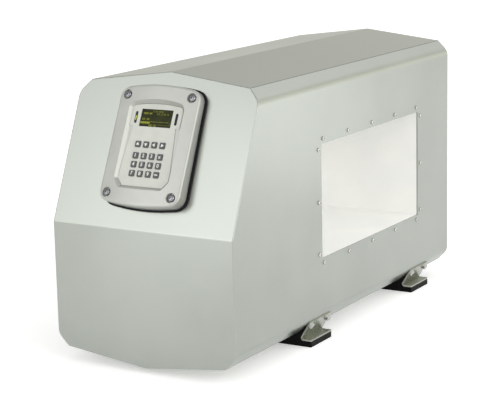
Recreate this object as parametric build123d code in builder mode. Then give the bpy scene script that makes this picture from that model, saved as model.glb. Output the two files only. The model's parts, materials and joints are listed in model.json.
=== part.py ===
from build123d import *
import os
from math import atan2, cos, degrees, radians, sin, sqrt, tan

os.makedirs("parts", exist_ok=True)

# Search head of a conveyor metal detector, in millimetres and degrees.
# +X runs along the casing with the control end at -X, +Y along the belt, +Z up.
# The origin is on the floor, midway between the four feet and below the middle of the tunnel.

# Casing
casing_depth = 350.0
control_reach = 493.0  # from the middle of the tunnel to the control end
far_reach = 337.0  # from the middle of the tunnel to the far end
crease_height = 442.0  # between the lower and the upper crease
shoulder = 20.0  # each leg of the sloping shoulder
shoulder_bend = 22.0
roof_rise = 18.5
keel_drop = 18.5
ridge_bend = 5.0
keel_clearance = 9.0  # from the floor to the keel
sheet = 2.5
seam_gap = 0.8
edge_round = 1.6
panel_tilt = 23.5
end_bend_height = 241.5
end_bend = 7.0
rail_thickness = 12.0
rail_width = 46.0

# Tunnel
tunnel_width = 390.0
tunnel_height = 200.0
liner_wall = 6.0
liner_flange = 24.0  # from the opening to the rim of the flange
liner_flange_thickness = 10.0
row_count = 5
row_gap = 9.0  # from the opening to the screws above and below it
row_inset = 6.0  # from the side of the opening to the first screw of a row
column_count = 3
column_gap = 11.0
column_inset = 8.5
liner_screw_radius = 2.5
liner_screw_length = 11.0
liner_head_radius = 3.7
liner_head_height = 2.8
thread_clearance = 0.05
hole_clearance = 0.3

# Coils
former_thickness = 30.0
coil_spacing = 110.0
coil_width = 18.0
coil_depth = 12.0
coil_cover = 6.0  # from the winding to the mouth of its groove
coil_clearance = 0.3

# Electronics bay
coil_room = 26.0  # from the liner flange to the partition
partition_thickness = 3.0
partition_clearance = 0.3
board_thickness = 1.6
main_board_width = 200.0
main_board_height = 140.0
main_board_level = 330.0
main_board_margin = 8.0  # from a board's edge to its standoffs
standoff_height = 12.0
standoff_radius = 4.0
connector_height = 9.0
connector_width = 40.0
connector_depth = 10.0
capacitor_radius = 8.0
capacitor_height = 25.0
chip_side = 24.0
chip_height = 3.0
supply_width = 150.0
supply_height = 90.0
supply_depth = 42.0
supply_level = 170.0
supply_round = 3.0
vent_count = 9
vent_pitch = 12.0
vent_width = 4.0
vent_length = 50.0
vent_depth = 2.0
terminal_count = 8
terminal_pitch = 9.0
terminal_height = 28.0
terminal_depth = 22.0
terminal_bore = 2.5
terminal_bore_depth = 9.0
terminal_level = 170.0
terminal_across = 105.0  # from the middle plane towards the rear side
ribbon_width = 30.0
ribbon_thickness = 1.2
ribbon_sag = 15.0  # below the straight line between its ends

# Cable glands in the rear side
gland_from_end = 95.0
gland_pitch = 50.0
gland_level = 120.0
gland_bore = 5.0
gland_thread = 10.0
gland_wall = 2.0
gland_flats = 26.0
gland_flange = 6.0
gland_collar = 10.0
gland_cap_length = 16.0
gland_cap_round = 5.0
gland_seal_length = 9.0
locknut_flats = 27.0
locknut_thickness = 5.0

# Control panel, measured on the sloping face from its own middle
panel_rise = 138.0  # along the slope, from the bend to the middle of the panel
cutout_width = 100.0
cutout_height = 140.0
gasket_thickness = 3.5
gasket_lip = 3.0
bezel_width = 155.0
bezel_height = 206.0
bezel_bow = 8.0
bezel_corner = 20.0
bezel_lean = 2.0  # the bezel's front leans back from the slope by this much
bezel_rise = 22.5  # from the gasket to the top of the crown, in the middle of the bezel
crown_radius = 600.0  # across the bezel
bezel_edge_round = 4.0
bezel_wall = 6.0
recess_width = 110.0
recess_top = 71.0
recess_arch = 5.5
recess_bottom = 76.0
recess_cut_across = 13.0
recess_cut_up = 16.0
recess_top_corner = 13.0
recess_corner = 7.0
recess_wall_run = 6.0
recess_depth = 8.3
recess_floor = 3.0
bezel_screw_across = 125.0
bezel_screw_up = 167.0
bezel_boss_radius = 9.0
bezel_screw_radius = 3.0
bezel_head_radius = 6.4
bezel_head_height = 5.0
bezel_head_round = 4.2
bezel_dish_radius = 8.4
bezel_dish_seat = 7.0
bezel_dish_depth = 3.5
bezel_socket_flats = 4.0
bezel_socket_depth = 2.0
bezel_nut_flats = 10.0
bezel_nut_thickness = 5.0
faceplate_thickness = 1.0
faceplate_clearance = 0.4
flare_top = 31.0  # the faceplate's flared sides start here, below the lights
flare_foot = -45.0
flare_inset = 7.5
window_width = 61.0
window_height = 30.0
window_level = 46.0
window_lap = 1.5  # how far the lens runs behind the faceplate
light_across = 39.0
light_width = 4.5
light_height = 20.0
light_proud = 0.3
lens_clearance = 0.2
display_frame_margin = 3.0
display_frame_depth = 5.0
display_board_width = 92.0
display_board_height = 50.0
display_led_width = 3.0

# Keys
key_width = 10.2
key_height = 10.2
key_pitch_across = 15.8
key_pitch_up = 15.0
digit_row_level = -18.6
function_row_gap = 19.3
key_proud = 1.8
key_corner = 1.4
key_edge_round = 0.5
key_travel = 1.0
key_clearance = 0.35
key_flange = 0.9
key_flange_thickness = 1.0
dome_radius = 3.0
dome_height = 0.8
dome_clearance = 0.2
keypad_board_margin = 6.0
keypad_post_radius = 2.2
key_rows = (
    ("f1", "f2", "f3", "f4"),
    ("1", "2", "3", "clear"),
    ("4", "5", "6", "0"),
    ("7", "8", "9", "enter"),
)

# Feet
foot_pitch = 407.0
foot_length = 76.0
foot_reach = 175.0  # from the middle plane to the outer edge
foot_root = 95.0  # from the middle plane to the inner end
foot_flange = 10.5
foot_edge_round = 2.0
foot_hole_across = 125.0
foot_hole_radius = 5.0
foot_hole_depth = 18.0
plate_thickness = 2.5
plate_angle = 60.0  # of the clamp plate's upper leg, which leans on the shoulder bend
plate_bend = 2.0
plate_gap = 0.1  # from the shoulder bend to the plate
foot_top_drop = 12.5  # along the plate, from the shoulder bend to the top of the foot
foot_bolt_drop = 8.0  # along the plate, from the shoulder bend to the bolts
foot_bolt_inset = 9.0
foot_bolt_length = 18.0
foot_bolt_radius = 3.0
foot_bolt_flats = 10.0
foot_bolt_head = 4.0
foot_bolt_washer_radius = 6.0
foot_bolt_washer = 1.2

# Levels and places that follow from the sizes above
half_depth = casing_depth / 2
crease_y = half_depth - shoulder
keel_z = keel_clearance
lower_crease_z = keel_z + keel_drop
upper_crease_z = lower_crease_z + crease_height
ridge_z = upper_crease_z + roof_rise
tunnel_z = (lower_crease_z + upper_crease_z) / 2
head_length = control_reach + far_reach
clear_of_casing = 2 * casing_depth  # a length that passes right through the casing
half_root = sqrt(0.5)

row_pitch = (tunnel_width - 2 * row_inset) / (row_count - 1)
column_pitch = (tunnel_height - 2 * column_inset) / (column_count - 1)
liner_face = half_depth - sheet
former_face = liner_face - liner_flange_thickness
groove_depth = coil_depth + coil_cover

partition_back_x = -(tunnel_width / 2 + liner_flange + coil_room)
partition_face_x = partition_back_x - partition_thickness
bay_plane = Plane(origin=(partition_face_x, 0, 0), x_dir=(0, -1, 0), z_dir=(-1, 0, 0))

tilt = radians(panel_tilt)
panel_plane = Plane(
    origin=(panel_rise * sin(tilt) - control_reach, 0, panel_rise * cos(tilt) + end_bend_height),
    x_dir=(0, -1, 0),
    z_dir=(-cos(tilt), 0, sin(tilt)),
)
face_tilt = radians(panel_tilt + bezel_lean)
face_plane = Plane(
    origin=panel_plane.origin, x_dir=(0, -1, 0), z_dir=(-cos(face_tilt), 0, sin(face_tilt))
)
crown_level = gasket_thickness + bezel_rise
floor_level = crown_level - recess_depth
cavity_level = floor_level - recess_floor
dome_level = cavity_level - key_flange_thickness - key_travel - dome_clearance
keypad_board_level = dome_level - dome_height
function_row_level = digit_row_level + function_row_gap
key_columns = len(key_rows[0])
digit_rows = len(key_rows) - 1
keypad_middle = (function_row_level + digit_row_level - (digit_rows - 1) * key_pitch_up) / 2
keypad_width = (key_columns - 1) * key_pitch_across + key_width
keypad_height = function_row_level - digit_row_level + (digit_rows - 1) * key_pitch_up + key_height
keypad_board_width = keypad_width + 2 * key_flange + 2 * keypad_board_margin + 4 * keypad_post_radius
keypad_board_height = keypad_height + 2 * key_flange + 2 * keypad_board_margin

bend_y = half_depth - shoulder_bend
bend_z = lower_crease_z + shoulder + shoulder_bend * (sqrt(2) - 1)
lean = radians(plate_angle)
clamp_y = bend_y + (shoulder_bend + plate_gap) * sin(lean)
clamp_z = bend_z - (shoulder_bend + plate_gap) * cos(lean)


def save(piece, name):
    piece.part.label = name
    export_step(piece.part, f"parts/{name}.step")


# Casing sections


def casing_outline(inset):
    with BuildSketch() as outline:
        with BuildLine():
            half = Polyline(
                (0, keel_z),
                (crease_y, lower_crease_z),
                (half_depth, lower_crease_z + shoulder),
                (half_depth, upper_crease_z - shoulder),
                (crease_y, upper_crease_z),
                (0, ridge_z),
            )
            mirror(half, about=Plane.YZ)
        make_face()
        side_corners = outline.vertices().group_by(Axis.X)
        fillet(side_corners[0] + side_corners[-1], shoulder_bend)
        ends = outline.vertices().sort_by(Axis.Y)
        fillet([ends[0], ends[-1]], ridge_bend)
        if inset:
            offset(amount=-inset, kind=Kind.INTERSECTION)
    return outline.sketch


def crease_strips(length, width):
    # One strip across the sheet at each of the four creases, along the line that halves the bend
    with BuildSketch() as strips:
        for crease_z, rise, upward in ((upper_crease_z, roof_rise, 1), (lower_crease_z, keel_drop, -1)):
            halving_angle = (135 - degrees(atan2(rise, crease_y))) / 2
            for side in (-1, 1):
                turn = side * upward * halving_angle
                with Locations(Location((side * crease_y, crease_z, 0), (0, 0, turn))):
                    Rectangle(length, width)
    return strips.sketch


def rail_sections(clearance):
    with BuildSketch() as rails:
        add(casing_outline(sheet))
        add(casing_outline(sheet + rail_thickness + clearance), mode=Mode.SUBTRACT)
        add(crease_strips(4 * (sheet + rail_thickness), rail_width + 2 * clearance), mode=Mode.INTERSECT)
    return rails.sketch


def head_profile(inset):
    # Side view of the head: upright lower end, sloping upper end, upright far end
    above = ridge_z + 2 * shoulder
    below = keel_z - 2 * shoulder
    slope_top = (above - end_bend_height) * tan(tilt) - control_reach
    with BuildSketch() as profile:
        with BuildLine():
            Polyline(
                (-control_reach, below),
                (-control_reach, end_bend_height),
                (slope_top, above),
                (far_reach, above),
                (far_reach, below),
                close=True,
            )
        make_face()
        fillet(profile.vertices().sort_by_distance((-control_reach, end_bend_height))[0], end_bend)
        if inset:
            offset(amount=-inset, kind=Kind.INTERSECTION)
    return profile.sketch


def screw_spots(radius):
    with BuildSketch() as spots:
        with Locations((0, tunnel_z)):
            with GridLocations(row_pitch, tunnel_height + 2 * row_gap, row_count, 2):
                Circle(radius)
            with GridLocations(tunnel_width + 2 * column_gap, column_pitch, 2, column_count):
                Circle(radius)
    return spots.sketch


def clamp_plane(side):
    # On the inner face of the clamp plates at the foot bolts, facing out, with its Y axis up the plate
    return Plane(
        origin=(0, side * (clamp_y - foot_bolt_drop * cos(lean)), clamp_z - foot_bolt_drop * sin(lean)),
        x_dir=(-side, 0, 0),
        z_dir=(0, side * sin(lean), -cos(lean)),
    )


def foot_bolt_spots(radius):
    with BuildSketch() as spots:
        with GridLocations(foot_pitch, 0, 2, 1):
            with GridLocations(foot_length - 2 * foot_bolt_inset, 0, 2, 1):
                Circle(radius)
    return spots.sketch


def gland_spots(radius):
    with BuildSketch() as spots:
        with Locations((gland_from_end - control_reach + gland_pitch / 2, gland_level)):
            with GridLocations(gland_pitch, 0, 2, 1):
                Circle(radius)
    return spots.sketch


def bezel_screw_spots(radius, rows=(-1, 1)):
    with BuildSketch() as spots:
        for row in rows:
            with Locations((0, row * bezel_screw_up / 2)):
                with GridLocations(bezel_screw_across, 0, 2, 1):
                    Circle(radius)
    return spots.sketch


with BuildSketch(Plane.YZ) as casing_ring:
    add(casing_outline(0))
    add(casing_outline(sheet), mode=Mode.SUBTRACT)
    add(crease_strips(6 * sheet, seam_gap), mode=Mode.SUBTRACT)
ring_by_height = casing_ring.sketch.faces().sort_by(Axis.Z)
ring_by_side = casing_ring.sketch.faces().sort_by(Axis.Y)

# Roof and keel sheets

for name, section in (("roof_panel", ring_by_height[-1]), ("keel_panel", ring_by_height[0])):
    with BuildPart() as lengthwise_sheet:
        extrude(section, amount=head_length, both=True)
        with BuildSketch(Plane.XZ):
            add(head_profile(sheet))
        extrude(amount=clear_of_casing, both=True, mode=Mode.INTERSECT)
    save(lengthwise_sheet, name)

# Side sheets with the tunnel opening, and cable holes in the rear one

for name, section, side in (("front", ring_by_side[0], -1), ("rear", ring_by_side[-1], 1)):
    with BuildPart() as side_panel:
        extrude(section, amount=head_length, both=True)
        with BuildSketch(Plane.XZ):
            add(head_profile(sheet))
        extrude(amount=clear_of_casing, both=True, mode=Mode.INTERSECT)
        with BuildSketch(Plane.XZ):
            with Locations((0, tunnel_z)):
                Rectangle(tunnel_width, tunnel_height)
            add(screw_spots(liner_screw_radius + hole_clearance))
            if side > 0:
                add(gland_spots(gland_thread + hole_clearance))
        extrude(amount=clear_of_casing, both=True, mode=Mode.SUBTRACT)
        with BuildSketch(clamp_plane(side)):
            add(foot_bolt_spots(foot_bolt_radius + hole_clearance))
        extrude(amount=-foot_bolt_length, mode=Mode.SUBTRACT)
    save(side_panel, f"{name}_side_panel")

# Control end sheet, bent once, with the opening behind the control panel

with BuildPart() as control_end_panel:
    with BuildSketch(Plane.XZ):
        add(head_profile(0))
        add(head_profile(sheet), mode=Mode.SUBTRACT)
        with Locations((-control_reach, tunnel_z)):
            Rectangle(control_reach, clear_of_casing, align=(Align.MIN, Align.CENTER), mode=Mode.INTERSECT)
    extrude(amount=clear_of_casing, both=True)
    with BuildSketch(Plane.YZ):
        add(casing_outline(0))
    extrude(amount=head_length, both=True, mode=Mode.INTERSECT)
    outer_faces = control_end_panel.faces().filter_by(lambda face: face.normal_at().X < -half_root)
    fillet(outer_faces.edges().filter_by(Axis.Y, reverse=True), edge_round)
    with BuildSketch(panel_plane):
        Rectangle(cutout_width, cutout_height)
        add(bezel_screw_spots(bezel_screw_radius + hole_clearance))
    extrude(amount=-2 * sheet, mode=Mode.SUBTRACT)
save(control_end_panel, "control_end_panel")

with BuildPart() as far_end_panel:
    with BuildSketch(Plane.YZ.offset(far_reach - sheet)):
        add(casing_outline(0))
    extrude(amount=sheet)
    fillet(far_end_panel.faces().sort_by(Axis.X)[-1].edges(), edge_round)
save(far_end_panel, "far_end_panel")

# Corner rails that carry the sheets along the creases, tapped along the lower ones for the feet

rails_by_height = rail_sections(0).faces().sort_by(Axis.Y)
for name, sections in (("lower_rails", rails_by_height[:2]), ("upper_rails", rails_by_height[2:])):
    with BuildPart() as rails:
        with BuildSketch(Plane.YZ):
            add(sections)
        extrude(amount=head_length, both=True)
        with BuildSketch(Plane.XZ):
            add(head_profile(sheet))
        extrude(amount=clear_of_casing, both=True, mode=Mode.INTERSECT)
        if name == "lower_rails":
            for side in (-1, 1):
                with BuildSketch(clamp_plane(side)):
                    add(foot_bolt_spots(foot_bolt_radius + thread_clearance))
                extrude(amount=-2 * foot_bolt_length, mode=Mode.SUBTRACT)
    save(rails, name)

# Tunnel liner: a square tube with a flange behind each side sheet

with BuildPart() as tunnel_liner:
    with BuildSketch(Plane.XZ):
        with Locations((0, tunnel_z)):
            Rectangle(tunnel_width + 2 * liner_wall, tunnel_height + 2 * liner_wall)
    extrude(amount=liner_face, both=True)
    for side in (-1, 1):
        with BuildSketch(Plane.XZ.offset(side * liner_face)):
            with Locations((0, tunnel_z)):
                Rectangle(tunnel_width + 2 * liner_flange, tunnel_height + 2 * liner_flange)
        extrude(amount=-side * liner_flange_thickness)
    with BuildSketch(Plane.XZ):
        with Locations((0, tunnel_z)):
            Rectangle(tunnel_width, tunnel_height)
        add(screw_spots(liner_screw_radius + thread_clearance))
    extrude(amount=clear_of_casing, both=True, mode=Mode.SUBTRACT)
save(tunnel_liner, "tunnel_liner")

for name, side in (("front", 1), ("rear", -1)):
    with BuildPart() as liner_screws:
        with BuildSketch(Plane.XZ.offset(side * half_depth)):
            add(screw_spots(liner_head_radius))
        extrude(amount=side * liner_head_height)
        crowns = liner_screws.faces().group_by(Axis.Y)[0 if side > 0 else -1]
        fillet(crowns.edges(), 0.8 * liner_head_height)
        with BuildSketch(Plane.XZ.offset(side * half_depth)):
            add(screw_spots(liner_screw_radius))
        extrude(amount=-side * liner_screw_length)
    save(liner_screws, f"{name}_liner_screws")

# Coil former in two halves round the liner, with a groove for each winding

former_width = tunnel_width + 2 * liner_wall + 2 * former_thickness
former_height = tunnel_height + 2 * liner_wall + 2 * former_thickness
winding_width = former_width - 2 * groove_depth
winding_height = former_height - 2 * groove_depth
for name, half in (("upper", Keep.TOP), ("lower", Keep.BOTTOM)):
    with BuildPart() as coil_former:
        with BuildSketch(Plane.XZ):
            with Locations((0, tunnel_z)):
                Rectangle(former_width, former_height)
                Rectangle(
                    tunnel_width + 2 * liner_wall, tunnel_height + 2 * liner_wall, mode=Mode.SUBTRACT
                )
        extrude(amount=former_face, both=True)
        for place in (-coil_spacing, 0, coil_spacing):
            with BuildSketch(Plane.XZ.offset(place)):
                with Locations((0, tunnel_z)):
                    Rectangle(2 * former_width, 2 * former_height)
                    Rectangle(winding_width, winding_height, mode=Mode.SUBTRACT)
            extrude(amount=coil_width / 2 + coil_clearance, both=True, mode=Mode.SUBTRACT)
        split(bisect_by=Plane.XY.offset(tunnel_z), keep=half)
    save(coil_former, f"{name}_coil_former")

coil_places = (
    ("front_receive_coil", coil_spacing),
    ("transmit_coil", 0),
    ("rear_receive_coil", -coil_spacing),
)
for name, place in coil_places:
    with BuildPart() as coil:
        with BuildSketch(Plane.XZ.offset(place)) as turns:
            with Locations((0, tunnel_z)):
                Rectangle(winding_width + 2 * coil_depth, winding_height + 2 * coil_depth)
                fillet(turns.vertices(), coil_depth)
                Rectangle(winding_width, winding_height, mode=Mode.SUBTRACT)
        extrude(amount=coil_width / 2, both=True)
    save(coil, name)

# Partition between the coils and the electronics bay

with BuildPart() as partition:
    with BuildSketch(Plane.YZ.offset(partition_face_x)):
        add(casing_outline(sheet + partition_clearance))
        add(rail_sections(partition_clearance), mode=Mode.SUBTRACT)
    extrude(amount=partition_thickness)
save(partition, "partition")


def board_corners(radius):
    with BuildSketch() as corners:
        with Locations((0, main_board_level)):
            with GridLocations(
                main_board_width - 2 * main_board_margin, main_board_height - 2 * main_board_margin, 2, 2
            ):
                Circle(radius)
    return corners.sketch


with BuildPart() as board_standoffs:
    with BuildSketch(bay_plane):
        add(board_corners(standoff_radius))
    extrude(amount=standoff_height)
save(board_standoffs, "board_standoffs")

main_board_face = standoff_height + board_thickness
connector_level = main_board_level - main_board_height / 2 + main_board_margin + connector_depth
with BuildPart() as main_board:
    with BuildSketch(bay_plane.offset(standoff_height)):
        with Locations((0, main_board_level)):
            Rectangle(main_board_width, main_board_height)
    extrude(amount=board_thickness)
    with BuildSketch(bay_plane.offset(main_board_face)):
        with Locations((0, connector_level)):
            Rectangle(connector_width, connector_depth)
    extrude(amount=connector_height)
    with BuildSketch(bay_plane.offset(main_board_face)):
        with Locations((0, main_board_level)):
            with GridLocations(main_board_width / 2, 0, 2, 1):
                Rectangle(chip_side, chip_side)
    extrude(amount=chip_height)
    with BuildSketch(bay_plane.offset(main_board_face)):
        with Locations((0, main_board_level + main_board_height / 2 - 3 * capacitor_radius)):
            with GridLocations(3 * capacitor_radius, 0, 3, 1):
                Circle(capacitor_radius)
    extrude(amount=capacitor_height)
save(main_board, "main_board")

with BuildPart() as power_supply:
    with BuildSketch(bay_plane) as supply_base:
        with Locations((0, supply_level)):
            Rectangle(supply_width, supply_height)
        fillet(supply_base.vertices(), supply_round)
    extrude(amount=supply_depth)
    with BuildSketch(bay_plane.offset(supply_depth)):
        with Locations((0, supply_level)):
            with GridLocations(vent_pitch, 0, vent_count, 1):
                SlotOverall(vent_length, vent_width, rotation=90)
    extrude(amount=-vent_depth, mode=Mode.SUBTRACT)
save(power_supply, "power_supply")

with BuildPart() as terminal_block:
    with BuildSketch(bay_plane):
        with Locations((-terminal_across, terminal_level)):
            Rectangle(terminal_height, terminal_count * terminal_pitch)
    extrude(amount=terminal_depth)
    with BuildSketch(bay_plane.offset(terminal_depth)):
        with Locations((-terminal_across, terminal_level)):
            with GridLocations(terminal_height / 2, terminal_pitch, 2, terminal_count):
                Circle(terminal_bore)
    extrude(amount=-terminal_bore_depth, mode=Mode.SUBTRACT)
save(terminal_block, "terminal_block")

# Cable glands: body, sealing ring, cap nut outside and locknut inside

gland_thread_length = sheet + locknut_thickness + gland_wall
gland_collar_radius = gland_thread
gland_cap_reach = gland_flange + gland_collar
rear_face = Plane.XZ.offset(-half_depth)


def gland_hexagons(flats):
    with BuildSketch() as hexagons:
        with Locations((gland_from_end - control_reach + gland_pitch / 2, gland_level)):
            with GridLocations(gland_pitch, 0, 2, 1):
                RegularPolygon(flats / 2, 6, major_radius=False)
    return hexagons.sketch


with BuildPart() as gland_bodies:
    with BuildSketch(rear_face):
        add(gland_hexagons(gland_flats))
    extrude(amount=-gland_flange)
    with BuildSketch(rear_face):
        add(gland_spots(gland_collar_radius))
    extrude(amount=-gland_cap_reach)
    with BuildSketch(rear_face):
        add(gland_spots(gland_thread))
    extrude(amount=gland_thread_length)
    with BuildSketch(rear_face):
        add(gland_spots(gland_bore + gland_wall))
    extrude(amount=clear_of_casing, both=True, mode=Mode.SUBTRACT)
save(gland_bodies, "gland_bodies")

with BuildPart() as gland_seals:
    with BuildSketch(rear_face.offset(-gland_cap_reach)):
        add(gland_spots(gland_bore + gland_wall - hole_clearance))
        add(gland_spots(gland_bore), mode=Mode.SUBTRACT)
    extrude(amount=gland_seal_length)
save(gland_seals, "gland_seals")

with BuildPart() as gland_caps:
    with BuildSketch(rear_face.offset(-gland_flange)):
        add(gland_hexagons(gland_flats))
    extrude(amount=-gland_cap_length)
    fillet(gland_caps.faces().group_by(Axis.Y)[-1].edges(), gland_cap_round / 2)
    with BuildSketch(rear_face.offset(-gland_flange)):
        add(gland_spots(gland_collar_radius + thread_clearance))
    extrude(amount=-gland_collar, mode=Mode.SUBTRACT)
    with BuildSketch(rear_face.offset(-gland_flange)):
        add(gland_spots(gland_bore + hole_clearance))
    extrude(amount=-gland_cap_length, mode=Mode.SUBTRACT)
save(gland_caps, "gland_caps")

with BuildPart() as gland_locknuts:
    with BuildSketch(rear_face.offset(sheet)):
        add(gland_hexagons(locknut_flats))
        add(gland_spots(gland_thread + thread_clearance), mode=Mode.SUBTRACT)
    extrude(amount=locknut_thickness)
save(gland_locknuts, "gland_locknuts")

# Control panel: gasket, crowned bezel with a sloped recess, faceplate, lenses, boards and keys


def bezel_outline(grow):
    corner_level = bezel_height / 2 - bezel_bow
    with BuildSketch() as outline:
        with BuildLine():
            upper = ThreePointArc(
                (-bezel_width / 2, corner_level), (0, bezel_height / 2), (bezel_width / 2, corner_level)
            )
            lower = ThreePointArc(
                (-bezel_width / 2, -corner_level), (0, -bezel_height / 2), (bezel_width / 2, -corner_level)
            )
            Line(upper @ 0, lower @ 0)
            Line(upper @ 1, lower @ 1)
        make_face()
        fillet(outline.vertices(), bezel_corner)
        if grow:
            offset(amount=grow)
    return outline.sketch


def recess_outline(inset):
    half_width = recess_width / 2
    with BuildSketch() as outline:
        with BuildLine():
            arch = ThreePointArc(
                (-half_width, recess_top), (0, recess_top + recess_arch), (half_width, recess_top)
            )
            Polyline(
                arch @ 1,
                (half_width, recess_cut_up - recess_bottom),
                (half_width - recess_cut_across, -recess_bottom),
                (recess_cut_across - half_width, -recess_bottom),
                (-half_width, recess_cut_up - recess_bottom),
                arch @ 0,
            )
        make_face()
        corners = outline.vertices().sort_by(Axis.Y)
        fillet(corners[-2:], recess_top_corner)
        lower_corners = outline.vertices().sort_by(Axis.Y)[:4]
        fillet(lower_corners, recess_corner)
        if inset:
            offset(amount=-inset)
    return outline.sketch


def key_holes():
    width = key_width + 2 * key_clearance
    height = key_height + 2 * key_clearance
    corner = key_corner + key_clearance
    with BuildSketch() as holes:
        with Locations((0, function_row_level)):
            with GridLocations(key_pitch_across, 0, key_columns, 1):
                RectangleRounded(width, height, corner)
        with Locations((0, digit_row_level - (digit_rows - 1) * key_pitch_up / 2)):
            with GridLocations(key_pitch_across, key_pitch_up, key_columns, digit_rows):
                RectangleRounded(width, height, corner)
    return holes.sketch


def light_slots(clearance):
    with BuildSketch() as slots:
        with Locations((0, window_level)):
            with GridLocations(2 * light_across, 0, 2, 1):
                SlotOverall(light_height + 2 * clearance, light_width + 2 * clearance, rotation=90)
    return slots.sketch


def keypad_post_spots(radius):
    with BuildSketch() as spots:
        with Locations((0, keypad_middle)):
            with GridLocations(
                keypad_board_width - keypad_board_margin, keypad_board_height - keypad_board_margin, 2, 2
            ):
                Circle(radius)
    return spots.sketch


with BuildPart() as panel_gasket:
    with BuildSketch(panel_plane):
        add(bezel_outline(gasket_lip))
        Rectangle(cutout_width, cutout_height, mode=Mode.SUBTRACT)
        add(bezel_screw_spots(bezel_screw_radius + hole_clearance), mode=Mode.SUBTRACT)
    extrude(amount=gasket_thickness)
save(panel_gasket, "panel_gasket")

crown_plane = Plane(origin=face_plane.origin, x_dir=face_plane.x_dir, z_dir=-face_plane.y_dir)
dish_level = crown_level - bezel_screw_across**2 / (8 * crown_radius) - bezel_dish_depth
row_rise = bezel_screw_up / 2 * tan(radians(bezel_lean))
seat_levels = {row: dish_level - row * row_rise for row in (-1, 1)}

with BuildPart() as panel_bezel:
    with BuildSketch(panel_plane.offset(gasket_thickness)):
        add(bezel_outline(0))
    extrude(amount=2 * bezel_rise)
    with BuildSketch(crown_plane):
        with Locations((0, crown_level - crown_radius)):
            Circle(crown_radius)
    extrude(amount=bezel_height, both=True, mode=Mode.INTERSECT)
    crown = panel_bezel.faces().filter_by(GeomType.CYLINDER).sort_by(SortBy.AREA)[-1]
    fillet(crown.outer_wire().edges(), bezel_edge_round)
    with BuildSketch(face_plane.offset(floor_level)):
        add(recess_outline(recess_wall_run))
    with BuildSketch(face_plane.offset(crown_level)):
        add(recess_outline(0))
    loft(mode=Mode.SUBTRACT)
    with BuildSketch(face_plane.offset(cavity_level)):
        add(bezel_outline(-bezel_wall))
        add(bezel_screw_spots(bezel_boss_radius), mode=Mode.SUBTRACT)
    extrude(amount=-2 * cavity_level, mode=Mode.SUBTRACT)
    with BuildSketch(face_plane.offset(keypad_board_level)):
        add(keypad_post_spots(keypad_post_radius))
    extrude(amount=cavity_level - keypad_board_level)
    with BuildSketch(face_plane.offset(cavity_level)):
        add(key_holes())
        add(light_slots(lens_clearance))
        with Locations((0, window_level)):
            Rectangle(
                window_width + 2 * window_lap + 2 * lens_clearance,
                window_height + 2 * window_lap + 2 * lens_clearance,
            )
    extrude(amount=recess_floor, mode=Mode.SUBTRACT)
    for row, seat_level in seat_levels.items():
        with BuildSketch(panel_plane.offset(seat_level)):
            add(bezel_screw_spots(bezel_dish_seat, [row]))
        extrude(
            amount=2 * bezel_dish_depth,
            taper=-degrees(atan2(bezel_dish_radius - bezel_dish_seat, bezel_dish_depth)),
            mode=Mode.SUBTRACT,
        )
    with BuildSketch(panel_plane):
        add(bezel_screw_spots(bezel_screw_radius + hole_clearance))
    extrude(amount=2 * crown_level, mode=Mode.SUBTRACT)
save(panel_bezel, "panel_bezel")

panel_axis = Axis(panel_plane.origin, panel_plane.z_dir)
with BuildPart() as panel_screws:
    for row, seat_level in seat_levels.items():
        head_top = panel_plane.offset(seat_level + bezel_head_height)
        with BuildPart() as screw_row:
            with BuildSketch(panel_plane.offset(seat_level)):
                add(bezel_screw_spots(bezel_head_radius, [row]))
            extrude(amount=bezel_head_height)
            fillet(screw_row.faces().group_by(panel_axis)[-1].edges(), bezel_head_round)
            with BuildSketch(head_top):
                with Locations((0, row * bezel_screw_up / 2)):
                    with GridLocations(bezel_screw_across, 0, 2, 1):
                        RegularPolygon(bezel_socket_flats / 2, 6, major_radius=False)
            extrude(amount=-bezel_socket_depth, mode=Mode.SUBTRACT)
            with BuildSketch(panel_plane.offset(seat_level)):
                add(bezel_screw_spots(bezel_screw_radius, [row]))
            extrude(amount=-(seat_level + sheet + bezel_nut_thickness))
        add(screw_row.part)
save(panel_screws, "panel_screws")

with BuildPart() as panel_nuts:
    with BuildSketch(panel_plane.offset(-sheet)):
        with GridLocations(bezel_screw_across, bezel_screw_up, 2, 2):
            RegularPolygon(bezel_nut_flats / 2, 6, major_radius=False)
            Circle(bezel_screw_radius + thread_clearance, mode=Mode.SUBTRACT)
    extrude(amount=-bezel_nut_thickness)
save(panel_nuts, "panel_nuts")

faceplate_half = recess_width / 2 - recess_wall_run - faceplate_clearance
face_axis = Axis(face_plane.origin, face_plane.z_dir)
with BuildPart() as faceplate:
    with BuildSketch(face_plane.offset(floor_level)):
        add(recess_outline(recess_wall_run + faceplate_clearance))
        for side in (-1, 1):
            with BuildLine():
                Polyline(
                    (side * recess_width, flare_top),
                    (side * (faceplate_half - flare_inset), flare_top),
                    (side * faceplate_half, flare_foot),
                    (side * recess_width, flare_foot),
                    close=True,
                )
            make_face(mode=Mode.SUBTRACT)
        add(key_holes(), mode=Mode.SUBTRACT)
        add(light_slots(lens_clearance), mode=Mode.SUBTRACT)
        with Locations((0, window_level)):
            Rectangle(window_width, window_height, mode=Mode.SUBTRACT)
    extrude(amount=faceplate_thickness)
save(faceplate, "faceplate")

with BuildPart() as display_window:
    with BuildSketch(face_plane.offset(cavity_level)):
        with Locations((0, window_level)):
            Rectangle(window_width + 2 * window_lap, window_height + 2 * window_lap)
    extrude(amount=recess_floor)
save(display_window, "display_window")

light_faces = light_slots(0).faces().sort_by(Axis.X)
for name, slot in (("left_status_light", light_faces[0]), ("right_status_light", light_faces[-1])):
    with BuildPart() as status_light:
        with BuildSketch(face_plane.offset(cavity_level)):
            add(slot)
        extrude(amount=recess_floor + faceplate_thickness + light_proud)
    save(status_light, name)

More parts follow.
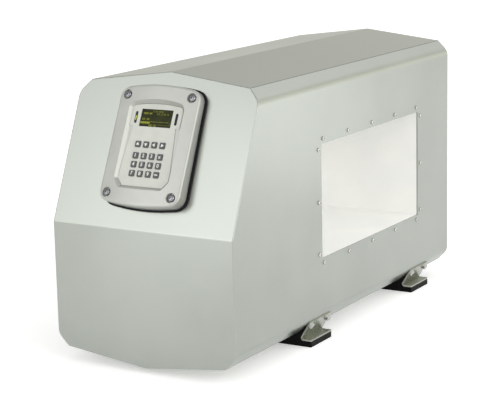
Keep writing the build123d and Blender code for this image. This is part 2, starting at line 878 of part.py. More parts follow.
display_board_level = cavity_level - display_frame_depth
with BuildPart() as display_module:
    with BuildSketch(face_plane.offset(display_board_level)):
        with Locations((0, window_level)):
            Rectangle(display_board_width, display_board_height)
    extrude(amount=-board_thickness)
    with BuildSketch(face_plane.offset(display_board_level)):
        with Locations((0, window_level)):
            Rectangle(window_width + 2 * display_frame_margin, window_height + 2 * display_frame_margin)
            with GridLocations(2 * light_across, 0, 2, 1):
                Rectangle(display_led_width, light_height)
    extrude(amount=display_frame_depth)
save(display_module, "display_module")

with BuildPart() as keypad_board:
    with BuildSketch(face_plane.offset(keypad_board_level)):
        with Locations((0, keypad_middle)):
            Rectangle(keypad_board_width, keypad_board_height)
    extrude(amount=-board_thickness)
    with BuildSketch(face_plane.offset(keypad_board_level)):
        with Locations((0, function_row_level)):
            with GridLocations(key_pitch_across, 0, key_columns, 1):
                Circle(dome_radius)
        with Locations((0, digit_row_level - (digit_rows - 1) * key_pitch_up / 2)):
            with GridLocations(key_pitch_across, key_pitch_up, key_columns, digit_rows):
                Circle(dome_radius)
    extrude(amount=dome_height)
save(keypad_board, "keypad_board")

for row, labels in enumerate(key_rows):
    level = digit_row_level - (row - 1) * key_pitch_up if row else function_row_level
    for column, label in enumerate(labels):
        across = (column - (key_columns - 1) / 2) * key_pitch_across
        with BuildPart() as key:
            with BuildSketch(face_plane.offset(cavity_level)):
                with Locations((across, level)):
                    RectangleRounded(key_width, key_height, key_corner)
            extrude(amount=recess_floor + faceplate_thickness + key_proud)
            fillet(key.faces().sort_by(face_axis)[-1].edges(), key_edge_round)
            with BuildSketch(face_plane.offset(cavity_level)):
                with Locations((across, level)):
                    rim = key_clearance + key_flange
                    RectangleRounded(key_width + 2 * rim, key_height + 2 * rim, key_corner + rim)
            extrude(amount=-key_flange_thickness)
        save(key, f"key_{label}")

# Ribbon cable from the keypad board to the main board, in the middle plane

ribbon_end_x = partition_face_x - main_board_face - connector_height
ribbon_start = face_plane.from_local_coords((0, keypad_middle, keypad_board_level - board_thickness))
ribbon_end = Vector(ribbon_end_x, 0, connector_level)
ribbon_low = (ribbon_start + ribbon_end) / 2 - Vector(0, 0, ribbon_sag)
with BuildPart() as ribbon_cable:
    with BuildLine():
        Spline(ribbon_start, ribbon_low, ribbon_end, tangents=(-face_plane.z_dir, (1, 0, 0)))
    with BuildSketch(Plane(origin=ribbon_start, x_dir=(0, -1, 0), z_dir=-face_plane.z_dir)):
        Rectangle(ribbon_width, ribbon_thickness)
    sweep()
save(ribbon_cable, "ribbon_cable")

# Feet: a block under the keel, a bent clamp plate over its flange and two bolts into the rail


def along_plate(drop, out):
    # A point of the foot's section, down the clamp plate from the shoulder bend and out from its inner face
    return (clamp_y - drop * cos(lean) + out * sin(lean), clamp_z - drop * sin(lean) - out * cos(lean))


def foot_section(side):
    slope_root_z = lower_crease_z - (crease_y - foot_root) * keel_drop / crease_y
    toe = along_plate((clamp_z - foot_flange) / sin(lean), 0)
    top = along_plate(foot_top_drop, 0)
    wedge = (top[0] - top[1] - crease_y + lower_crease_z) / (sin(lean) + cos(lean))
    corners = (
        (foot_root, 0),
        (foot_reach, 0),
        (foot_reach, foot_flange),
        toe,
        top,
        along_plate(foot_top_drop, -wedge),
        (crease_y, lower_crease_z),
        (foot_root, slope_root_z),
    )
    with BuildSketch() as section:
        with BuildLine():
            Polyline(*[(side * across, height) for across, height in corners], close=True)
        make_face()
    return section.sketch


def plate_section(side):
    plate_top = foot_flange + plate_thickness
    corners = (
        (foot_reach, foot_flange),
        (foot_reach, plate_top),
        along_plate((clamp_z - plate_top - plate_thickness * cos(lean)) / sin(lean), plate_thickness),
        along_plate(0, plate_thickness),
        along_plate(0, 0),
        along_plate((clamp_z - foot_flange) / sin(lean), 0),
    )
    with BuildSketch() as section:
        with BuildLine():
            Polyline(*[(side * across, height) for across, height in corners], close=True)
        make_face()
        bend = section.vertices().sort_by(lambda vertex: abs(vertex.X))[:2].sort_by(Axis.Y)
        fillet(bend[0], plate_bend + plate_thickness)
        fillet(bend[1], plate_bend)
    return section.sketch


for depth_name, side in (("front", -1), ("rear", 1)):
    for end_name, end in (("left", -1), ("right", 1)):
        middle = end * foot_pitch / 2
        with BuildPart() as foot:
            with BuildSketch(Plane.YZ.offset(middle)):
                add(foot_section(side))
            extrude(amount=foot_length / 2, both=True)
            outer_wall = foot.faces().filter_by(Axis.Y).sort_by(Axis.Y)[0 if side < 0 else -1]
            fillet(outer_wall.edges().filter_by(Axis.Z), foot_edge_round)
            with Locations(Location((middle, side * foot_hole_across, 0), (180, 0, 0))):
                Hole(foot_hole_radius, foot_hole_depth)
        save(foot, f"{depth_name}_{end_name}_foot")

with BuildPart() as foot_plates:
    for side in (-1, 1):
        for end in (-1, 1):
            with BuildSketch(Plane.YZ.offset(end * foot_pitch / 2)):
                add(plate_section(side))
            extrude(amount=foot_length / 2, both=True)
        with BuildSketch(clamp_plane(side)):
            add(foot_bolt_spots(foot_bolt_radius + hole_clearance))
        extrude(amount=2 * plate_thickness, mode=Mode.SUBTRACT)
    lower_legs = foot_plates.edges().filter_by(Axis.Z).filter_by(lambda edge: edge.center().Z < clamp_z)
    fillet(lower_legs.filter_by(lambda edge: abs(edge.center().Y) > foot_hole_across), foot_edge_round)
save(foot_plates, "foot_plates")

with BuildPart() as foot_bolts:
    for side in (-1, 1):
        head_plane = clamp_plane(side).offset(plate_thickness)
        with BuildSketch(head_plane):
            add(foot_bolt_spots(foot_bolt_washer_radius))
        extrude(amount=foot_bolt_washer)
        with BuildSketch(head_plane):
            with GridLocations(foot_pitch, 0, 2, 1):
                with GridLocations(foot_length - 2 * foot_bolt_inset, 0, 2, 1):
                    RegularPolygon(foot_bolt_flats / 2, 6, major_radius=False)
        extrude(amount=foot_bolt_washer + foot_bolt_head)
        with BuildSketch(head_plane):
            add(foot_bolt_spots(foot_bolt_radius))
        extrude(amount=-foot_bolt_length)
save(foot_bolts, "foot_bolts")
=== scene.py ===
import json
import math

import bmesh
import bpy
from mathutils import Matrix, Vector


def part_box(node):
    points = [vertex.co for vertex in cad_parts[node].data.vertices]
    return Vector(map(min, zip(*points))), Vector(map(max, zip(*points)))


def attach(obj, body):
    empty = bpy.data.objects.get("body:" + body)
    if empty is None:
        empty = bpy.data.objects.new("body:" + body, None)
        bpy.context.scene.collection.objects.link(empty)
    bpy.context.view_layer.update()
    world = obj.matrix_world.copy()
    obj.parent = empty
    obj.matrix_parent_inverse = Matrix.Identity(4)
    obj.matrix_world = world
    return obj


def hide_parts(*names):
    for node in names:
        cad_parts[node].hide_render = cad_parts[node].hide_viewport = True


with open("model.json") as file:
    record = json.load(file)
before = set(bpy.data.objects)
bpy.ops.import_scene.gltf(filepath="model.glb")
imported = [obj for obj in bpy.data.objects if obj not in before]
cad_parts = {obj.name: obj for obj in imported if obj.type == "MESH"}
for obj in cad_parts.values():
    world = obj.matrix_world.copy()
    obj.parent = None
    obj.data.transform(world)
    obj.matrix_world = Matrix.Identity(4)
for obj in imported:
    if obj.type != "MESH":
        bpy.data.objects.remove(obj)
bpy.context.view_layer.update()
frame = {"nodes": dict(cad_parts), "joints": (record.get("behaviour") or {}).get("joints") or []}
nodes = frame["nodes"]
keyNames = [name for name in nodes if name.startswith("key_")]
mm = 0.001
print("frame loaded:", len(nodes), "nodes")

# The sloping control face, which the keys slide into: out of it, right as one faces it, and up along it
faceOut = -Vector(frame["joints"][0]["axis"]).normalized()
faceRight = Vector((0, -1, 0))
faceUp = faceOut.cross(faceRight)
straightUp = Vector((0, 0, 1))


def linearColor(hexCode):
    channels = [int(hexCode[i:i + 2], 16) / 255 for i in (1, 3, 5)]
    return [c / 12.92 if c <= 0.04045 else ((c + 0.055) / 1.055) ** 2.4 for c in channels] + [1.0]


def addNode(tree, kind, values=None, links=None, **settings):
    node = tree.nodes.new(kind)
    for key, value in settings.items():
        setattr(node, key, value)
    for key, value in (values or {}).items():
        node.inputs[key].default_value = value
    for key, (source, output) in (links or {}).items():
        tree.links.new(source.outputs[output], node.inputs[key])
    return node


# Shared by all finishes: where in the noise the shades and the gloss end, and how its detail fades
finishNoise = {"shadeEnds": (0.35, 0.65), "roughEnds": (0.3, 0.7), "patchDetail": 5.0, "patchFade": 0.55,
               "grainDetail": 2.0, "grainFade": 0.6, "reliefStrength": 0.3}


def makeFinish(look):
    # The colour drifts between two shades over look["patch"] mm, and the relief has its own grain.
    # A real grain finer than 0.3 mm would not show, so it is drawn at 0.3 mm or more.
    material = bpy.data.materials.new(look["name"])
    material.use_nodes = True
    tree = material.node_tree
    shader = tree.nodes["Principled BSDF"]
    shader.inputs["Metallic"].default_value = look.get("metallic", 0.0)
    shader.inputs["IOR"].default_value = look.get("ior", 1.5)
    if "coat" in look:
        shader.inputs["Coat Weight"].default_value = look["coat"]
        shader.inputs["Coat Roughness"].default_value = look["coatRough"]
    if "glow" in look:
        shader.inputs["Emission Color"].default_value = linearColor(look["light"])
        shader.inputs["Emission Strength"].default_value = look["glow"]
    coords = addNode(tree, "ShaderNodeTexCoord")
    patches = addNode(tree, "ShaderNodeTexNoise",
                      {"Scale": 1 / (look["patch"] * mm), "Detail": finishNoise["patchDetail"],
                       "Roughness": finishNoise["patchFade"]},
                      {"Vector": (coords, "Object")})
    shades = addNode(tree, "ShaderNodeValToRGB", None, {"Fac": (patches, "Fac")})
    ends = zip(shades.color_ramp.elements, finishNoise["shadeEnds"], ("dark", "light"))
    for element, position, shade in ends:
        element.position = position
        element.color = linearColor(look[shade])
    tree.links.new(shades.outputs["Color"], shader.inputs["Base Color"])
    rough = addNode(tree, "ShaderNodeMapRange",
                    {"From Min": finishNoise["roughEnds"][0], "From Max": finishNoise["roughEnds"][1],
                     "To Min": look["rough"][0], "To Max": look["rough"][1]},
                    {"Value": (patches, "Fac")})
    tree.links.new(rough.outputs["Result"], shader.inputs["Roughness"])
    grain = addNode(tree, "ShaderNodeTexNoise",
                    {"Scale": 1 / (look["grain"] * mm), "Detail": finishNoise["grainDetail"],
                     "Roughness": finishNoise["grainFade"]},
                    {"Vector": (coords, "Object")})
    relief = addNode(tree, "ShaderNodeBump",
                     {"Strength": finishNoise["reliefStrength"], "Distance": look["relief"] * mm},
                     {"Height": (grain, "Fac")})
    tree.links.new(relief.outputs["Normal"], shader.inputs["Normal"])
    return material


def dress(material, *names):
    for name in names:
        nodes[name].material_slots[0].material = material


# Casing and frame

# Stainless sheet, bead blasted: an even silvery grey with a soft broad sheen and no brush lines.
# The real grit is about 0.2 mm, too fine to show, so it is drawn at 1.2 mm.
satinSheet = makeFinish({"name": "stainless_bead_blasted", "light": "#a6aaa5", "dark": "#a0a49f",
                         "patch": 180, "rough": (0.28, 0.34), "metallic": 1.0, "grain": 1.2, "relief": 0.02})
# Stainless fasteners, turned and tumbled: brighter than the sheet, with small sharp highlights.
brightSteel = makeFinish({"name": "stainless_tumbled", "light": "#cacac6", "dark": "#b8b8b4", "patch": 6,
                          "rough": (0.16, 0.26), "metallic": 1.0, "grain": 0.6, "relief": 0.01})
# Stainless plate, laser cut and fine ground: light, with a slightly narrower sheen than the sheet.
plateSteel = makeFinish({"name": "stainless_ground_plate", "light": "#abaea4", "dark": "#9da097", "patch": 25,
                         "rough": (0.24, 0.32), "metallic": 1.0, "grain": 0.8, "relief": 0.015})
# Stainless domes, mirror polished: dark, with small sharp highlights of the lamps.
polishedSteel = makeFinish({"name": "stainless_polished", "light": "#8f8f94", "dark": "#7e7e84", "patch": 6,
                            "rough": (0.05, 0.09), "metallic": 1.0, "grain": 0.6, "relief": 0.005})
# Drawn steel bar and nuts: darker, with mill marks; hidden inside the casing.
drawnSteel = makeFinish({"name": "steel_cold_drawn", "light": "#8e8e8c", "dark": "#787876", "patch": 30,
                         "rough": (0.35, 0.5), "metallic": 1.0, "grain": 0.8, "relief": 0.03})
# Polyethylene sheet, welded: soft white with a slight waxy gloss and faint handling marks.
whiteLiner = makeFinish({"name": "polyethylene_welded_white", "light": "#f6f6f4", "dark": "#f0f1f0",
                         "patch": 90, "rough": (0.38, 0.5), "grain": 3.0, "relief": 0.02})
dress(satinSheet, "roof_panel", "keel_panel", "front_side_panel", "rear_side_panel", "control_end_panel",
      "far_end_panel")
dress(drawnSteel, "upper_rails", "lower_rails", "panel_nuts")
dress(whiteLiner, "tunnel_liner")
dress(plateSteel, "foot_plates")

# Control panel and feet

# Die-cast housing under silver lacquer: half gloss, so that its rim and slopes turn light and dark.
bezelLacquer = makeFinish({"name": "diecast_silver_lacquer", "light": "#b2b4af", "dark": "#abada8",
                           "patch": 40, "rough": (0.35, 0.43), "metallic": 0.48,
                           "coat": 0.5, "coatRough": 0.14, "grain": 2.5, "relief": 0.03})
# Polyester overlay, matt hard coat: pale grey with a faint dry texture.
overlayFilm = makeFinish({"name": "polyester_overlay_matt", "light": "#c6c8c2", "dark": "#bfc1bb",
                          "patch": 30, "rough": (0.42, 0.5), "grain": 0.7, "relief": 0.01})
# EPDM gasket, moulded: deep black with a dull skin.
gasketRubber = makeFinish({"name": "epdm_moulded_black", "light": "#0e0e14", "dark": "#08080d", "patch": 12,
                           "rough": (0.5, 0.65), "ior": 1.3, "grain": 0.8, "relief": 0.03})
# Silicone keys, moulded: dark grey with a soft silky skin.
keySilicone = makeFinish({"name": "silicone_moulded_grey", "light": "#535557", "dark": "#47494b", "patch": 5,
                          "rough": (0.45, 0.55), "grain": 0.5, "relief": 0.015})
# Key print, one-colour silicone ink: chalky pale grey.
keyInk = makeFinish({"name": "silicone_ink_pale", "light": "#e2e4df", "dark": "#d4d6d1", "patch": 3,
                     "rough": (0.5, 0.6), "grain": 0.3, "relief": 0.01})
# Display glass, coated against glare, over dark liquid crystal: nearly black olive.
displayGlass = makeFinish({"name": "display_glass_dark_olive", "light": "#2e3211", "dark": "#1f220b",
                           "patch": 14, "rough": (0.08, 0.12), "ior": 1.2, "grain": 2.0, "relief": 0.002})
# Lit and half-lit display dots: yellow-green, backlit.
displayLit = makeFinish({"name": "display_dots_lit", "light": "#868c2e", "dark": "#777d28", "patch": 4,
                         "rough": (0.3, 0.4), "ior": 1.2, "grain": 0.5, "relief": 0.005, "glow": 0.14})
displayDim = makeFinish({"name": "display_dots_dim", "light": "#686c27", "dark": "#5a5e21", "patch": 4,
                         "rough": (0.3, 0.4), "ior": 1.2, "grain": 0.5, "relief": 0.005, "glow": 0.1})
# Acrylic light bars, moulded: dark when off, with a yellow-green spot over the lamp that is on.
litLens = makeFinish({"name": "acrylic_lens_lit", "light": "#b4ba45", "dark": "#8f9538", "patch": 5,
                      "rough": (0.15, 0.25), "ior": 1.3, "grain": 1.0, "relief": 0.01, "glow": 0.3})
oliveLens = makeFinish({"name": "acrylic_lens_olive", "light": "#3a3b2c", "dark": "#2a2b20", "patch": 5,
                        "rough": (0.12, 0.2), "ior": 1.3, "grain": 1.0, "relief": 0.01})
darkLens = makeFinish({"name": "acrylic_lens_dark", "light": "#1b1c26", "dark": "#12131a", "patch": 5,
                       "rough": (0.12, 0.2), "ior": 1.3, "grain": 1.0, "relief": 0.01})
# Glass-filled nylon feet, moulded: black with a faint sheen on top.
footNylon = makeFinish({"name": "nylon_moulded_black", "light": "#050605", "dark": "#030403", "patch": 18,
                        "rough": (0.45, 0.55), "ior": 1.2, "grain": 1.0, "relief": 0.03})
dress(bezelLacquer, "panel_bezel")
dress(overlayFilm, "faceplate")
dress(gasketRubber, "panel_gasket", "gland_seals")
dress(displayGlass, "display_window")
dress(oliveLens, "left_status_light")
dress(darkLens, "right_status_light")
dress(keySilicone, *keyNames)
dress(footNylon, "front_left_foot", "front_right_foot", "rear_left_foot", "rear_right_foot")

# Pieces inside the casing and the cable glands

# Phenolic laminate, sawn: warm brown with a paper grain.
laminate = makeFinish({"name": "phenolic_laminate_sawn", "light": "#a07a4a", "dark": "#8a653a", "patch": 20,
                       "rough": (0.5, 0.6), "grain": 1.0, "relief": 0.05})
# Enamelled copper, wound in layers: orange-brown and glossy.
windingCopper = makeFinish({"name": "copper_enamelled", "light": "#b8703a", "dark": "#94522a", "patch": 4,
                            "rough": (0.25, 0.35), "metallic": 1.0, "grain": 1.0, "relief": 0.1})
# Mill-finish aluminium: pale grey with a streakless soft sheen.
plainAluminium = makeFinish({"name": "aluminium_mill_finish", "light": "#c4c5c7", "dark": "#b6b7b9",
                             "patch": 60, "rough": (0.35, 0.45), "metallic": 1.0,
                             "grain": 1.0, "relief": 0.02})
# Turned brass standoffs: yellow, with a machined gloss.
turnedBrass = makeFinish({"name": "brass_turned", "light": "#c9a75a", "dark": "#b08f48", "patch": 4,
                          "rough": (0.2, 0.3), "metallic": 1.0, "grain": 0.5, "relief": 0.01})
# Glass-epoxy circuit board under solder mask: deep green, half gloss.
solderMask = makeFinish({"name": "epoxy_board_solder_mask", "light": "#1f5a38", "dark": "#174a2d", "patch": 6,
                         "rough": (0.3, 0.4), "grain": 1.2, "relief": 0.05})
# Polyamide mouldings: a green terminal block and black glands, both half matt.
terminalNylon = makeFinish({"name": "polyamide_moulded_green", "light": "#4a7a5c", "dark": "#3f6c50",
                            "patch": 10, "rough": (0.4, 0.5), "grain": 0.8, "relief": 0.02})
glandNylon = makeFinish({"name": "polyamide_moulded_black", "light": "#2a2a2b", "dark": "#202021", "patch": 8,
                         "rough": (0.38, 0.48), "grain": 0.7, "relief": 0.02})
# PVC ribbon, extruded: plain grey with a dull skin.
ribbonSkin = makeFinish({"name": "pvc_ribbon_grey", "light": "#8f9092", "dark": "#838486", "patch": 10,
                         "rough": (0.45, 0.55), "grain": 1.2, "relief": 0.05})
dress(laminate, "upper_coil_former", "lower_coil_former")
dress(windingCopper, "front_receive_coil", "transmit_coil", "rear_receive_coil")
dress(plainAluminium, "partition", "power_supply")
dress(turnedBrass, "board_standoffs")
dress(solderMask, "main_board", "keypad_board", "display_module")
dress(terminalNylon, "terminal_block")
dress(glandNylon, "gland_bodies", "gland_locknuts")
dress(ribbonSkin, "ribbon_cable")
print("finishes done:", len(bpy.data.materials))

# Modelling helpers

levelNormal = 0.9  # a face is a level top where its normal's z is above this
sideNormal = 0.1  # a face is an upright side where its normal's z is within this of zero


def startPiece():
    if bpy.context.object and bpy.context.object.mode != "OBJECT":
        bpy.ops.object.mode_set(mode="OBJECT")
    bpy.ops.object.select_all(action="DESELECT")


def isTop(face):
    return face.normal.z > levelNormal


def selectFaces(piece, wanted):
    bpy.ops.mesh.select_mode(type="FACE")
    bpy.ops.mesh.select_all(action="DESELECT")
    shape = bmesh.from_edit_mesh(piece.data)
    for face in shape.faces:
        face.select_set(wanted(face))
    bmesh.update_edit_mesh(piece.data)


def cutAway(piece, cutter):
    startPiece()
    piece.select_set(True)
    bpy.context.view_layer.objects.active = piece
    cut = piece.modifiers.new("cut", "BOOLEAN")
    cut.object = cutter
    cut.operation = "DIFFERENCE"
    bpy.ops.object.modifier_apply(modifier=cut.name)
    bpy.data.objects.remove(cutter)


def nameAndPaint(piece, name, material):
    piece.name = name
    piece.data.materials.clear()
    piece.data.materials.append(material)


def placeCopies(template, name, places, material):
    # One finished object from a copy of the template at each place
    startPiece()
    copies = []
    for place in places:
        copy = template.copy()
        copy.data = template.data.copy()
        copy.data.transform(place)
        bpy.context.scene.collection.objects.link(copy)
        copies.append(copy)
    for copy in copies:
        copy.select_set(True)
    bpy.context.view_layer.objects.active = copies[0]
    bpy.ops.object.join()
    piece = bpy.context.object
    nameAndPaint(piece, name, material)
    return piece


def turnedTo(out, up, spot):
    # Puts a piece that stands on z = 0 at a spot, with its z along out
    right = up.cross(out)
    place = Matrix((right, up, out)).transposed().to_4x4()
    place.translation = spot
    return place


def onFace(across, along, level):
    return faceRight * across + faceUp * along + faceOut * level


def spanAlong(name, direction):
    reach = [vertex.co.dot(direction) for vertex in nodes[name].data.vertices]
    return min(reach), max(reach)


def middleOf(name, direction):
    low, high = spanAlong(name, direction)
    return (low + high) / 2


# Screws with a domed head and a hexagon socket

screwMesh = {"sides": 24, "domeSteps": 4, "socketSides": 6, "smooth": 40}


def modelDomeScrew(look):
    startPiece()
    bpy.ops.mesh.primitive_cylinder_add(vertices=screwMesh["sides"], radius=look["radius"],
                                        depth=look["height"], location=(0, 0, look["height"] / 2))
    screw = bpy.context.object
    bpy.ops.object.transform_apply(location=True)
    bpy.ops.object.mode_set(mode="EDIT")
    selectFaces(screw, isTop)
    bpy.ops.mesh.bevel(offset=look["dome"], segments=screwMesh["domeSteps"], affect="EDGES")
    bpy.ops.object.mode_set(mode="OBJECT")
    startPiece()
    bpy.ops.mesh.primitive_cylinder_add(vertices=screwMesh["socketSides"], radius=look["socket"],
                                        depth=look["socketDepth"] * 2, location=(0, 0, look["height"]))
    cutAway(screw, bpy.context.object)
    screw.select_set(True)
    bpy.ops.object.shade_smooth_by_angle(angle=math.radians(screwMesh["smooth"]))
    return screw


linerScrew = {"radius": 3.7 * mm, "height": 2.8 * mm, "dome": 1.9 * mm,
              "socket": 1.5 * mm, "socketDepth": 1.4 * mm,
              "tunnel": (390 * mm, 200 * mm),  # width and height of the opening that they go round
              "rowGap": 9 * mm, "rowInset": 6 * mm, "rowCount": 5,
              "columnGap": 11 * mm, "columnInset": 8.5 * mm, "columnCount": 3}


def linerScrewSpots(look):
    width, height = look["tunnel"]
    middle = middleOf("tunnel_liner", straightUp)
    spots = []
    for i in range(look["rowCount"]):
        x = (i / (look["rowCount"] - 1) - 0.5) * (width - 2 * look["rowInset"])
        spots += [(x, middle + side * (height / 2 + look["rowGap"])) for side in (-1, 1)]
    for i in range(look["columnCount"]):
        z = (i / (look["columnCount"] - 1) - 0.5) * (height - 2 * look["columnInset"])
        spots += [(side * (width / 2 + look["columnGap"]), middle + z) for side in (-1, 1)]
    return spots


template = modelDomeScrew(linerScrew)
for sideName, out in (("front", Vector((0, -1, 0))), ("rear", Vector((0, 1, 0)))):
    sheetFace = spanAlong(sideName + "_side_panel", out)[1]
    places = [turnedTo(out, straightUp, Vector((x, 0, z)) + out * sheetFace)
              for x, z in linerScrewSpots(linerScrew)]
    screws = placeCopies(template, sideName + "LinerScrews", places, brightSteel)
    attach(screws, "head")
    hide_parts(sideName + "_liner_screws")
bpy.data.objects.remove(template)

panelScrew = {"radius": 6.4 * mm, "height": 5.0 * mm, "dome": 4.0 * mm,
              "socket": 2.2 * mm, "socketDepth": 2.2 * mm,
              "across": 125 * mm, "along": 167 * mm,
              "slope": 23.5}  # the screws stand square to the casing, which leans less than the face

template = modelDomeScrew(panelScrew)
slope = math.radians(panelScrew["slope"])
slopeOut = Vector((-math.cos(slope), 0, math.sin(slope)))
slopeUp = slopeOut.cross(faceRight)
screwMiddle = middleOf("panel_screws", slopeUp)
places = []
for rowSide in (-1, 1):
    reach = [vertex.co.dot(slopeOut) for vertex in nodes["panel_screws"].data.vertices
             if (vertex.co.dot(slopeUp) - screwMiddle) * rowSide > 0]
    headFoot = max(reach) - panelScrew["height"]
    for columnSide in (-1, 1):
        spot = (faceRight * (columnSide * panelScrew["across"] / 2)
                + slopeUp * (screwMiddle + rowSide * panelScrew["along"] / 2) + slopeOut * headFoot)
        places.append(turnedTo(slopeOut, slopeUp, spot))
screws = placeCopies(template, "panelScrews", places, polishedSteel)
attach(screws, "head")
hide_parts("panel_screws")
bpy.data.objects.remove(template)
print("dome screws done")

# Hexagon bolts with washers in the foot plates

footBolt = {"flats": 10 * mm, "head": 4 * mm, "chamfer": 0.7 * mm, "rim": 1.2 * mm, "dishDepth": 0.4 * mm,
            "washer": 6 * mm, "washerThickness": 1.2 * mm, "washerEdge": 0.3 * mm, "washerSides": 24,
            "edgeSteps": 2, "smooth": 30,
            "pitch": 407 * mm, "spread": 58 * mm, "plateAngle": 60}


def modelHexBolt(look):
    startPiece()
    bpy.ops.mesh.primitive_cylinder_add(vertices=look["washerSides"], radius=look["washer"],
                                        depth=look["washerThickness"],
                                        location=(0, 0, look["washerThickness"] / 2))
    washer = bpy.context.object
    bpy.ops.object.transform_apply(location=True)
    bpy.ops.object.mode_set(mode="EDIT")
    selectFaces(washer, isTop)
    bpy.ops.mesh.bevel(offset=look["washerEdge"], segments=look["edgeSteps"], affect="EDGES")
    bpy.ops.object.mode_set(mode="OBJECT")
    startPiece()
    bpy.ops.mesh.primitive_cylinder_add(vertices=6, radius=look["flats"] / math.sqrt(3), depth=look["head"],
                                        location=(0, 0, look["washerThickness"] + look["head"] / 2))
    head = bpy.context.object
    bpy.ops.object.transform_apply(location=True)
    bpy.ops.object.mode_set(mode="EDIT")
    selectFaces(head, isTop)
    bpy.ops.mesh.bevel(offset=look["chamfer"], segments=look["edgeSteps"], affect="EDGES")
    selectFaces(head, isTop)
    bpy.ops.mesh.inset(thickness=look["rim"])
    bpy.ops.transform.translate(value=(0, 0, -look["dishDepth"]))
    bpy.ops.object.mode_set(mode="OBJECT")
    washer.select_set(True)
    head.select_set(True)
    bpy.context.view_layer.objects.active = head
    bpy.ops.object.join()
    bpy.ops.object.shade_smooth_by_angle(angle=math.radians(look["smooth"]))
    return bpy.context.object


template = modelHexBolt(footBolt)
places = []
lean = math.radians(footBolt["plateAngle"])
for side in (-1, 1):
    out = Vector((0, side * math.sin(lean), -math.cos(lean)))
    upPlate = Vector((0, side * math.cos(lean), math.sin(lean)))
    plateFace = spanAlong("foot_bolts", out)[1] - footBolt["washerThickness"] - footBolt["head"]
    boltLine = spanAlong("foot_bolts", upPlate)[1] - footBolt["washer"]
    for end in (-1, 1):
        for step in (-1, 1):
            x = end * footBolt["pitch"] / 2 + step * footBolt["spread"] / 2
            places.append(turnedTo(out, upPlate, Vector((x, 0, 0)) + out * plateFace + upPlate * boltLine))
bolts = placeCopies(template, "footBolts", places, brightSteel)
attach(bolts, "head")
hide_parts("foot_bolts")
bpy.data.objects.remove(template)
print("foot bolts done")

# Ribbed cap nuts on the cable glands

glandCap = {"radius": 13 * mm, "length": 16 * mm, "dome": 4 * mm, "domeSteps": 5,
            "ribs": 18, "ribDepth": 0.8 * mm, "sidesPerRib": 3,
            "bore": 5.3 * mm, "collar": 10.1 * mm, "collarDepth": 10 * mm, "boreSides": 36, "smooth": 30}


def modelGlandCap(look):
    startPiece()
    bpy.ops.mesh.primitive_cylinder_add(vertices=look["ribs"] * look["sidesPerRib"],
                                        radius=look["radius"] - look["ribDepth"],
                                        depth=look["length"], location=(0, 0, look["length"] / 2))
    cap = bpy.context.object
    bpy.ops.object.transform_apply(location=True)
    bpy.ops.object.mode_set(mode="EDIT")
    selectFaces(cap, isTop)
    bpy.ops.mesh.bevel(offset=look["dome"], segments=look["domeSteps"], affect="EDGES")
    step = math.tau / look["ribs"]
    selectFaces(cap, lambda face: abs(face.normal.z) < sideNormal
                and (math.atan2(face.normal.y, face.normal.x) % step) < step / look["sidesPerRib"])
    bpy.ops.mesh.extrude_faces_move(TRANSFORM_OT_shrink_fatten={"value": look["ribDepth"]})
    bpy.ops.object.mode_set(mode="OBJECT")
    for radius, depth in ((look["bore"], 4 * look["length"]), (look["collar"], 2 * look["collarDepth"])):
        startPiece()
        bpy.ops.mesh.primitive_cylinder_add(vertices=look["boreSides"], radius=radius, depth=depth)
        cutAway(cap, bpy.context.object)
    cap.select_set(True)
    bpy.ops.object.shade_smooth_by_angle(angle=math.radians(look["smooth"]))
    return cap


template = modelGlandCap(glandCap)
capLow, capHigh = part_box("gland_caps")
capFoot = capHigh.y - glandCap["length"]
capReach = (capHigh.z - capLow.z) / math.sqrt(3)  # half across the corners of the CAD cap's hexagon
places = [turnedTo(Vector((0, 1, 0)), straightUp, Vector((x, capFoot, (capLow.z + capHigh.z) / 2)))
          for x in (capLow.x + capReach, capHigh.x - capReach)]
caps = placeCopies(template, "glandCaps", places, glandNylon)
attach(caps, "head")
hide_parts("gland_caps")
bpy.data.objects.remove(template)
print("gland caps done")

# Prints on the keys: plain digits, arrows, a cross and a bar

keyPrint = {"digit": 8.4 * mm, "bold": 0.16 * mm, "arrow": 3.4 * mm, "bar": (6.4 * mm, 1.6 * mm),
            "thickness": 0.08 * mm, "sink": 0.02 * mm}
arrowTurns = {"f1": 0, "f2": 180, "f3": 90, "f4": 270}


def thicken(thickness):
    bpy.ops.object.mode_set(mode="EDIT")
    bpy.ops.mesh.select_all(action="SELECT")
    bpy.ops.mesh.extrude_region_move(TRANSFORM_OT_translate={"value": (0, 0, thickness)})
    bpy.ops.mesh.select_all(action="SELECT")
    bpy.ops.mesh.normals_make_consistent(inside=False)
    bpy.ops.object.mode_set(mode="OBJECT")


def modelText(words, size, bold, thickness):
    startPiece()
    bpy.ops.object.text_add()
    text = bpy.context.object
    text.data.body = words
    text.data.size = size
    text.data.offset = bold
    text.data.align_x = "CENTER"
    text.data.align_y = "CENTER"
    text.data.extrude = thickness / 2
    bpy.ops.object.convert(target="MESH")
    piece = bpy.context.object
    piece.data.transform(Matrix.Translation((0, 0, thickness / 2)))
    return piece


def modelArrow(radius, turn, thickness):
    startPiece()
    bpy.ops.mesh.primitive_circle_add(vertices=3, radius=radius, fill_type="NGON",
                                      rotation=(0, 0, math.radians(turn)))
    bpy.ops.object.transform_apply(rotation=True)
    thicken(thickness)
    return bpy.context.object


def modelBar(length, height, thickness):
    startPiece()
    bpy.ops.mesh.primitive_plane_add(size=1)
    bpy.ops.transform.resize(value=(length, height, 1))
    bpy.ops.object.transform_apply(scale=True)
    thicken(thickness)
    return bpy.context.object


